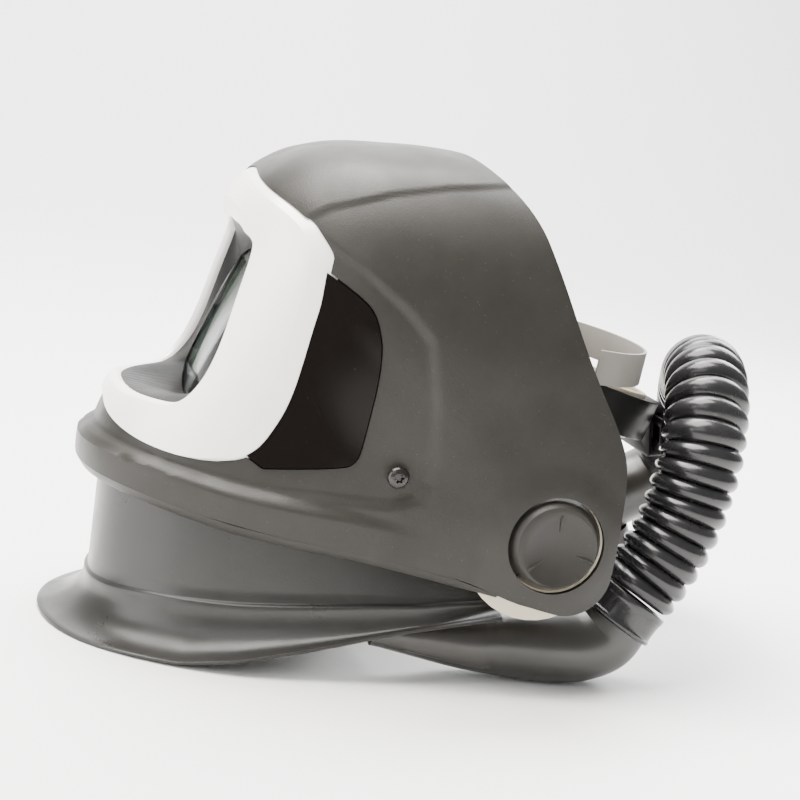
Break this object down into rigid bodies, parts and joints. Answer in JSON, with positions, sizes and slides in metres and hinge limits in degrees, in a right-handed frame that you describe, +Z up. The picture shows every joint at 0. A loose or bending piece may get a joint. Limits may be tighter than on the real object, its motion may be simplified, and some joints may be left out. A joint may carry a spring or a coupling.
{
  "type": "powered air respirator",
  "caption": "Welding headtop of a powered air respirator: flip-up shield over a clear visor, chin guard, air ducts, corrugated breathing tube and adjustable head harness.",
  "frame": {"origin": "middle of the footprint, on the surface that the chin lip and the air ducts rest on", "axes": "+X is the wearer's left, -Y is the front, +Z is up; the pivot axis of the shield is parallel to X"},
  "size_m": [0.235, 0.3989, 0.2671],
  "materials": {
    "shell_grey": "warm dark grey moulded plastic with a fine satin grain",
    "chin_grey": "dark grey moulded plastic, smooth satin sheen",
    "frame_silver": "warm pearl-silver painted plastic, satin",
    "smoked_window": "very dark smoked polycarbonate, polished",
    "clear_lens": "clear polycarbonate, polished",
    "filter_lens": "dark green welding filter glass, polished",
    "black_plastic": "black moulded plastic, satin",
    "duct_plastic": "dark brown-grey moulded plastic, semi-gloss",
    "tube_rubber": "black rubber, smooth and glossy",
    "cream_plastic": "cream moulded plastic, satin",
    "strap_grey": "light warm grey flexible plastic",
    "seal_fabric": "dark knitted flame-retardant fabric",
    "dark_steel": "blackened steel, polished head"
  },
  "bodies": {
    "root": {"visor_frame": "black_plastic", "clear_visor": "clear_lens", "chin_guard": "chin_grey", "face_seal": "seal_fabric", "pivot_bolt_left": "dark_steel", "pivot_bolt_right": "dark_steel", "pivot_disc_left": "cream_plastic", "pivot_disc_right": "cream_plastic", "air_duct_left": "duct_plastic", "air_duct_right": "duct_plastic", "supply_inlet": "black_plastic", "tube_cuff_left": "tube_rubber", "tube_cuff_rear": "tube_rubber", "breathing_tube": "tube_rubber"},
    "outer_shield": {"shield_shell": "shell_grey", "front_frame": "frame_silver", "side_window_left": "smoked_window", "side_window_right": "smoked_window", "filter_cassette": "black_plastic", "filter_glass": "filter_lens", "outer_cover_plate": "clear_lens", "inner_cover_plate": "clear_lens", "side_screw_left": "dark_steel", "side_screw_right": "dark_steel"},
    "shade_button": {"shade_button": "black_plastic"},
    "sensitivity_button": {"sensitivity_button": "black_plastic"},
    "delay_button": {"delay_button": "black_plastic"},
    "pivot_knob_left": {"pivot_knob_left": "shell_grey"},
    "pivot_knob_right": {"pivot_knob_right": "shell_grey"},
    "harness": {"headband": "black_plastic", "sweatband": "seal_fabric", "nape_pad": "cream_plastic", "ratchet_housing": "black_plastic", "crown_strap_front": "strap_grey", "crown_strap_rear": "strap_grey", "harness_arm_left": "black_plastic", "harness_arm_right": "black_plastic"},
    "ratchet_knob": {"ratchet_knob": "black_plastic"},
    "band_rack_left": {"band_rack_left": "black_plastic"},
    "band_rack_right": {"band_rack_right": "black_plastic"}
  },
  "joints": [
    {"name": "shield_flip", "type": "hinge", "parent": "root", "child": "outer_shield", "pos_m": [0, 0.04759, 0.08472], "axis": [-1, 0, 0], "range_deg": [0, 65]},
    {"name": "harness_tilt", "type": "hinge", "parent": "root", "child": "harness", "pos_m": [0, 0.04759, 0.08472], "axis": [-1, 0, 0], "range_deg": [0, 8]},
    {"name": "knob_left_turn", "type": "hinge", "parent": "root", "child": "pivot_knob_left", "pos_m": [0, 0.04759, 0.08472], "axis": [1, 0, 0], "range_deg": [0, 180]},
    {"name": "knob_right_turn", "type": "hinge", "parent": "root", "child": "pivot_knob_right", "pos_m": [0, 0.04759, 0.08472], "axis": [-1, 0, 0], "range_deg": [0, 180]},
    {"name": "ratchet_turn", "type": "hinge", "parent": "harness", "child": "ratchet_knob", "pos_m": [0, 0.12644, 0.13014], "axis": [0, 0.9903, 0.1392], "range_deg": [0, 180]},
    {"name": "rack_left_slide", "type": "slide", "parent": "harness", "child": "band_rack_left", "axis": [-1, 0, 0], "range_m": [0, 0.0061]},
    {"name": "rack_right_slide", "type": "slide", "parent": "harness", "child": "band_rack_right", "axis": [1, 0, 0], "range_m": [0, 0.0061]},
    {"name": "shade_press", "type": "slide", "parent": "outer_shield", "child": "shade_button", "axis": [0, -0.9336, 0.3584], "range_m": [0, 0.001], "stiffness_N_per_m": 600, "springref_m": -0.0005},
    {"name": "sensitivity_press", "type": "slide", "parent": "outer_shield", "child": "sensitivity_button", "axis": [0, -0.9336, 0.3584], "range_m": [0, 0.001], "stiffness_N_per_m": 600, "springref_m": -0.0005},
    {"name": "delay_press", "type": "slide", "parent": "outer_shield", "child": "delay_button", "axis": [0, -0.9336, 0.3584], "range_m": [0, 0.001], "stiffness_N_per_m": 600, "springref_m": -0.0005}
  ],
  "couplings": [
    {"joint": "rack_left_slide", "follows": "ratchet_turn", "m_per_rad": 0.0019},
    {"joint": "rack_right_slide", "follows": "ratchet_turn", "m_per_rad": 0.0019}
  ]
}
